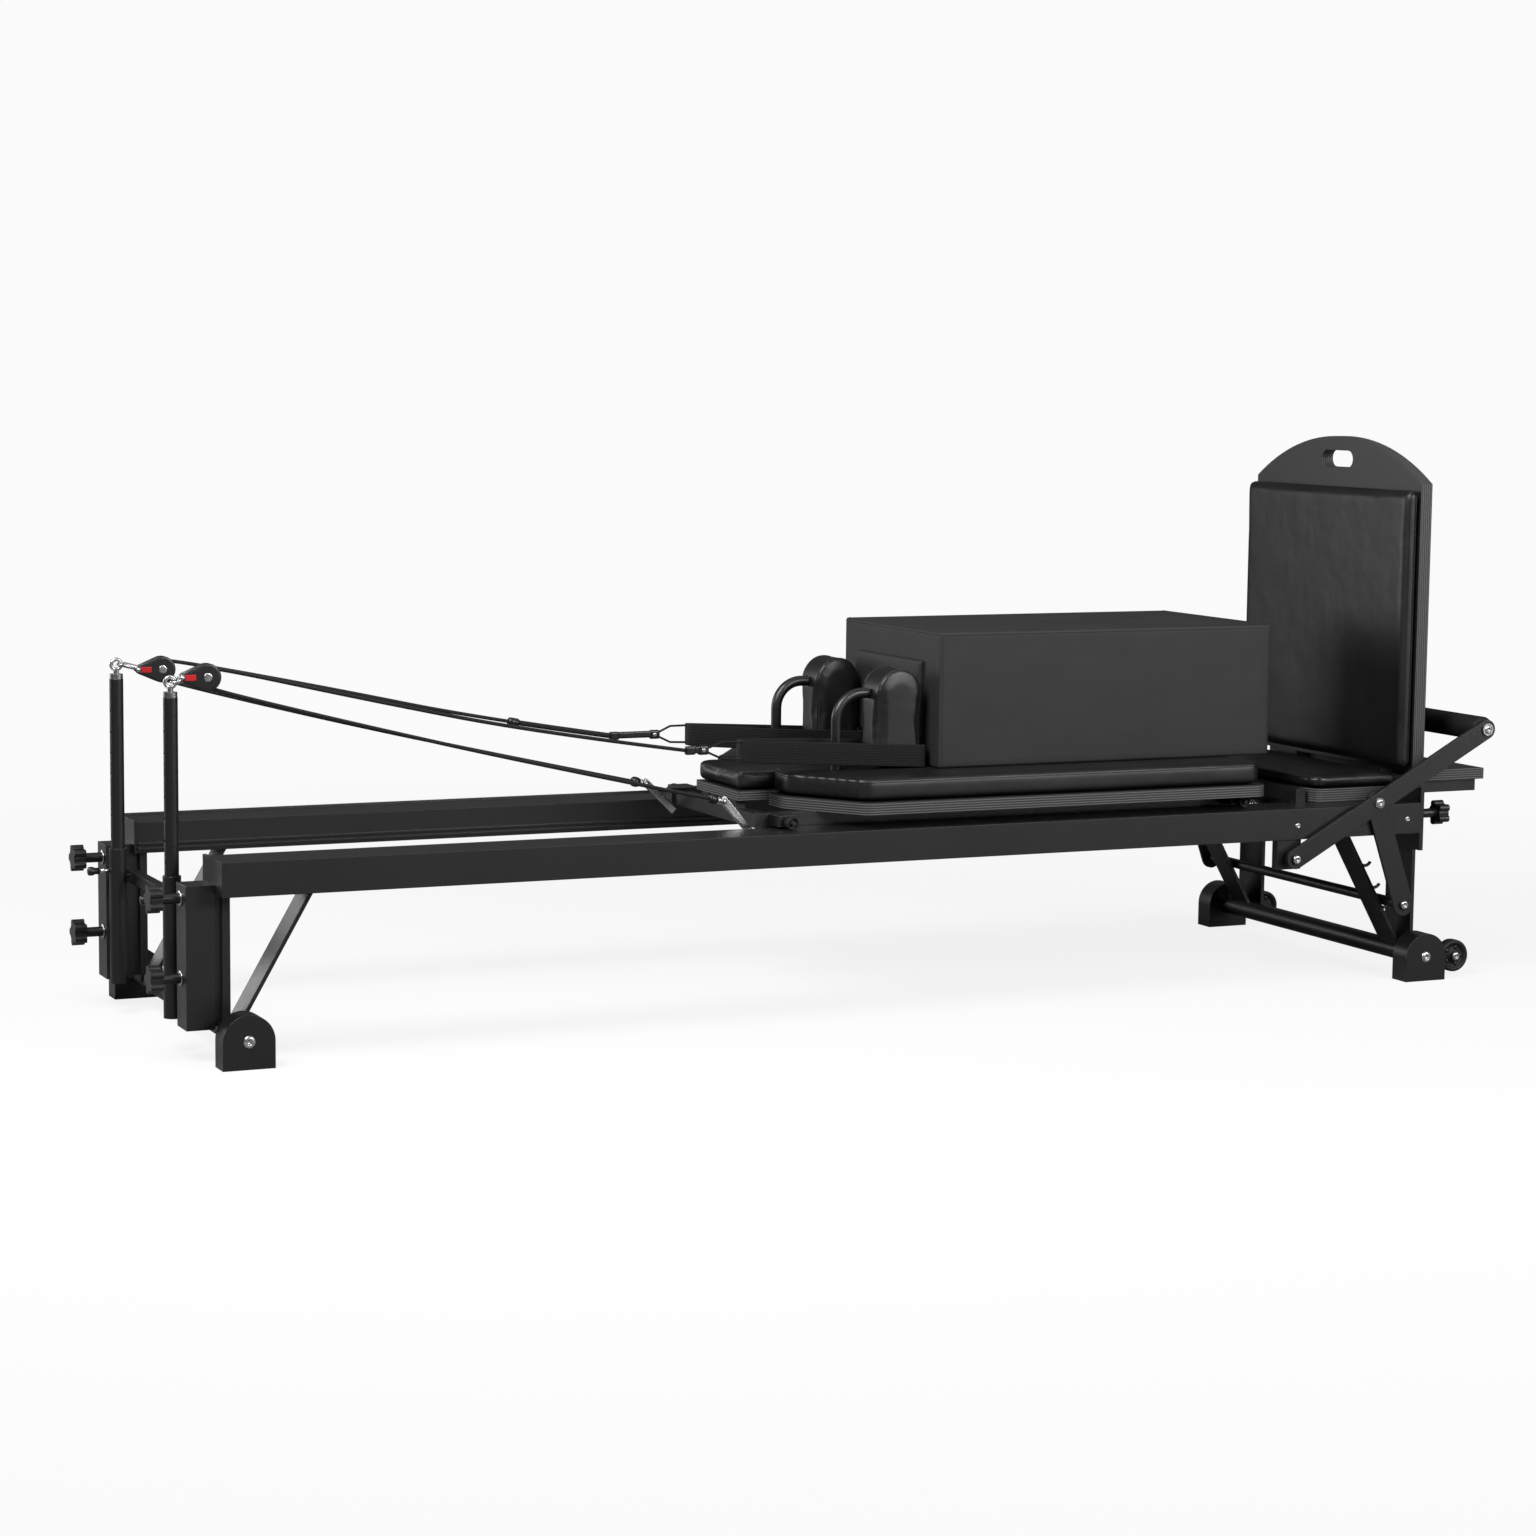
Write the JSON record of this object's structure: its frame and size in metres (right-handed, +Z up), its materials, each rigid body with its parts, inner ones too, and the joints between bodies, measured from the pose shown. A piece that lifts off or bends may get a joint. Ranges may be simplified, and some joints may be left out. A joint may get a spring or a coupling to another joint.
{
  "type": "pilates reformer",
  "caption": "Low-leg pilates reformer with sliding carriage, riser pulleys and ropes, strap loops, footbar, padded jump board and sitting box.",
  "frame": {"origin": "on the floor under the middle of the machine's overall length and width", "axes": "+X from the pulley end to the footbar end, +Y to the far side, +Z up"},
  "size_m": [2.751, 0.782, 1.0629],
  "materials": {
    "powder_coat": "satin, fine texture",
    "moulded_black": "satin",
    "bright_steel": "bright zinc",
    "upholstery": "smooth matt vinyl",
    "laminated_board": "black-faced plywood",
    "tyre_rubber": "matt",
    "foam_grip": "matt foam",
    "rope_braid": "braided",
    "webbing": "ribbed webbing",
    "pulley_red": "gloss"
  },
  "bodies": {
    "frame": {"rail_near": "powder_coat", "rail_far": "powder_coat", "rail_end_plates": "powder_coat", "pulley_end_legs": "powder_coat", "foot_end_legs": "powder_coat", "leg_struts": "powder_coat", "cross_tubes": "powder_coat", "feet": "moulded_black", "frame_bolts": "bright_steel", "riser_bracket": "powder_coat", "footbar_supports": "powder_coat", "spring_bar": "powder_coat", "springs": "bright_steel", "platform_base": "laminated_board", "platform_pad": "upholstery", "deck_board": "laminated_board"},
    "carriage": {"carriage_board": "laminated_board", "carriage_pad": "upholstery", "carriage_chassis": "powder_coat", "rope_cleats": "bright_steel", "strap_loops": "webbing", "strap_clasps": "moulded_black"},
    "headrest": {"headrest_base": "laminated_board", "headrest_pad": "upholstery"},
    "sitting_box": {"sitting_box": "upholstery"},
    "jump_board": {"jump_board": "laminated_board", "jump_board_pad": "upholstery"},
    "footbar": {"footbar_arms": "powder_coat", "footbar_pins": "bright_steel", "footbar_grip": "foam_grip"},
    "prop": {"prop_links": "powder_coat", "prop_rod": "powder_coat"},
    "carriage_wheel_front_near": {"carriage_wheel_front_near": "tyre_rubber"},
    "carriage_wheel_front_far": {"carriage_wheel_front_far": "tyre_rubber"},
    "carriage_wheel_rear_near": {"carriage_wheel_rear_near": "tyre_rubber"},
    "carriage_wheel_rear_far": {"carriage_wheel_rear_far": "tyre_rubber"},
    "shoulder_rest_near": {"shoulder_pad_near": "upholstery", "shoulder_post_near": "powder_coat"},
    "shoulder_rest_far": {"shoulder_pad_far": "upholstery", "shoulder_post_far": "powder_coat"},
    "riser_near": {"riser_post_near": "powder_coat", "shackle_near": "bright_steel", "pulley_block_near": "moulded_black"},
    "sheave_near": {"sheave_near": "moulded_black"},
    "rope_near": {"rope_near": "rope_braid"},
    "pull_pin_near": {"pull_pin_near": "bright_steel"},
    "star_knob_upper_near": {"star_knob_upper_near": "moulded_black"},
    "star_knob_lower_near": {"star_knob_lower_near": "moulded_black"},
    "board_knob_near": {"board_knob_near": "moulded_black"},
    "transport_wheel_near": {"transport_wheel_near": "tyre_rubber"},
    "riser_far": {"riser_post_far": "powder_coat", "shackle_far": "bright_steel", "pulley_block_far": "moulded_black"},
    "sheave_far": {"sheave_far": "moulded_black"},
    "rope_far": {"rope_far": "rope_braid"},
    "pull_pin_far": {"pull_pin_far": "bright_steel"},
    "star_knob_upper_far": {"star_knob_upper_far": "moulded_black"},
    "star_knob_lower_far": {"star_knob_lower_far": "moulded_black"},
    "board_knob_far": {"board_knob_far": "moulded_black"},
    "transport_wheel_far": {"transport_wheel_far": "tyre_rubber"}
  },
  "joints": [
    {"name": "carriage_slide", "type": "slide", "parent": "frame", "child": "carriage", "axis": [-1, 0, 0], "range_m": [0, 0.8], "stiffness_N_per_m": 200, "springref_m": -0.1, "deforming": ["rope_near", "rope_far", "springs"]},
    {"name": "carriage_wheel_front_near_spin", "type": "hinge", "parent": "carriage", "child": "carriage_wheel_front_near", "pos_m": [-0.1725, -0.271, 0.3593], "axis": [0, 1, 0], "continuous": true},
    {"name": "carriage_wheel_front_far_spin", "type": "hinge", "parent": "carriage", "child": "carriage_wheel_front_far", "pos_m": [-0.1725, 0.271, 0.3593], "axis": [0, 1, 0], "continuous": true},
    {"name": "carriage_wheel_rear_near_spin", "type": "hinge", "parent": "carriage", "child": "carriage_wheel_rear_near", "pos_m": [0.7995, -0.271, 0.3593], "axis": [0, 1, 0], "continuous": true},
    {"name": "carriage_wheel_rear_far_spin", "type": "hinge", "parent": "carriage", "child": "carriage_wheel_rear_far", "pos_m": [0.7995, 0.271, 0.3593], "axis": [0, 1, 0], "continuous": true},
    {"name": "headrest_tilt", "type": "hinge", "parent": "carriage", "child": "headrest", "pos_m": [-0.1075, 0, 0.44], "axis": [0, 1, 0], "range_deg": [0, 30]},
    {"name": "shoulder_rest_near_lift", "type": "slide", "parent": "carriage", "child": "shoulder_rest_near", "axis": [0, 0, 1], "range_m": [0, 0.06]},
    {"name": "shoulder_rest_far_lift", "type": "slide", "parent": "carriage", "child": "shoulder_rest_far", "axis": [0, 0, 1], "range_m": [0, 0.06]},
    {"name": "sitting_box_lift", "type": "slide", "parent": "carriage", "child": "sitting_box", "axis": [0, 0, 1], "range_m": [0, 0.3]},
    {"name": "jump_board_lift", "type": "slide", "parent": "frame", "child": "jump_board", "axis": [0, 0, 1], "range_m": [0, 0.25]},
    {"name": "footbar_lift", "type": "hinge", "parent": "frame", "child": "footbar", "pos_m": [0.8635, 0, 0.254], "axis": [0, -1, 0], "range_deg": [0, 13]},
    {"name": "prop_swing", "type": "hinge", "parent": "footbar", "child": "prop", "pos_m": [1.05209, 0, 0.3564], "axis": [0, -1, 0], "range_deg": [-4, 0]},
    {"name": "riser_near_slide", "type": "slide", "parent": "frame", "child": "riser_near", "axis": [0, 0, 1], "range_m": [-0.05, 0.12]},
    {"name": "sheave_near_spin", "type": "hinge", "parent": "riser_near", "child": "sheave_near", "pos_m": [-1.2467, -0.185, 0.65], "axis": [0, 1, 0], "continuous": true},
    {"name": "rope_near_swing", "type": "hinge", "parent": "riser_near", "child": "rope_near", "pos_m": [-1.2467, -0.185, 0.65], "axis": [0, 1, 0], "range_deg": [-4, 8]},
    {"name": "pull_pin_near_pull", "type": "slide", "parent": "frame", "child": "pull_pin_near", "axis": [-1, 0, 0], "range_m": [0, 0.008], "stiffness_N_per_m": 600, "springref_m": -0.004},
    {"name": "star_knob_upper_near_turn", "type": "hinge", "parent": "frame", "child": "star_knob_upper_near", "pos_m": [-1.3, -0.2675, 0.281], "axis": [1, 0, 0], "continuous": true},
    {"name": "star_knob_lower_near_turn", "type": "hinge", "parent": "frame", "child": "star_knob_lower_near", "pos_m": [-1.3, -0.2675, 0.143], "axis": [1, 0, 0], "continuous": true},
    {"name": "board_knob_near_turn", "type": "hinge", "parent": "frame", "child": "board_knob_near", "pos_m": [1.2025, -0.33, 0.326], "axis": [1, 0, 0], "continuous": true},
    {"name": "transport_wheel_near_spin", "type": "hinge", "parent": "frame", "child": "transport_wheel_near", "pos_m": [1.2505, -0.348, 0.04], "axis": [0, 1, 0], "continuous": true},
    {"name": "riser_far_slide", "type": "slide", "parent": "frame", "child": "riser_far", "axis": [0, 0, 1], "range_m": [-0.05, 0.12]},
    {"name": "sheave_far_spin", "type": "hinge", "parent": "riser_far", "child": "sheave_far", "pos_m": [-1.2269, 0.185, 0.6325], "axis": [0, 1, 0], "continuous": true},
    {"name": "rope_far_swing", "type": "hinge", "parent": "riser_far", "child": "rope_far", "pos_m": [-1.2269, 0.185, 0.6325], "axis": [0, 1, 0], "range_deg": [-4, 8]},
    {"name": "pull_pin_far_pull", "type": "slide", "parent": "frame", "child": "pull_pin_far", "axis": [-1, 0, 0], "range_m": [0, 0.008], "stiffness_N_per_m": 600, "springref_m": -0.004},
    {"name": "star_knob_upper_far_turn", "type": "hinge", "parent": "frame", "child": "star_knob_upper_far", "pos_m": [-1.3, 0.2675, 0.281], "axis": [1, 0, 0], "continuous": true},
    {"name": "star_knob_lower_far_turn", "type": "hinge", "parent": "frame", "child": "star_knob_lower_far", "pos_m": [-1.3, 0.2675, 0.143], "axis": [1, 0, 0], "continuous": true},
    {"name": "board_knob_far_turn", "type": "hinge", "parent": "frame", "child": "board_knob_far", "pos_m": [1.2025, 0.33, 0.326], "axis": [1, 0, 0], "continuous": true},
    {"name": "transport_wheel_far_spin", "type": "hinge", "parent": "frame", "child": "transport_wheel_far", "pos_m": [1.2505, 0.348, 0.04], "axis": [0, 1, 0], "continuous": true}
  ],
  "couplings": [
    {"joint": "carriage_wheel_front_near_spin", "follows": "carriage_slide", "rad_per_m": -83.333},
    {"joint": "carriage_wheel_front_far_spin", "follows": "carriage_slide", "rad_per_m": -83.333},
    {"joint": "carriage_wheel_rear_near_spin", "follows": "carriage_slide", "rad_per_m": -83.333},
    {"joint": "carriage_wheel_rear_far_spin", "follows": "carriage_slide", "rad_per_m": -83.333},
    {"joint": "prop_swing", "follows": "footbar_lift", "ratio": -0.3},
    {"joint": "rope_near_swing", "follows": "riser_near_slide", "rad_per_m": 1.09},
    {"joint": "rope_far_swing", "follows": "riser_far_slide", "rad_per_m": 1.09}
  ]
}
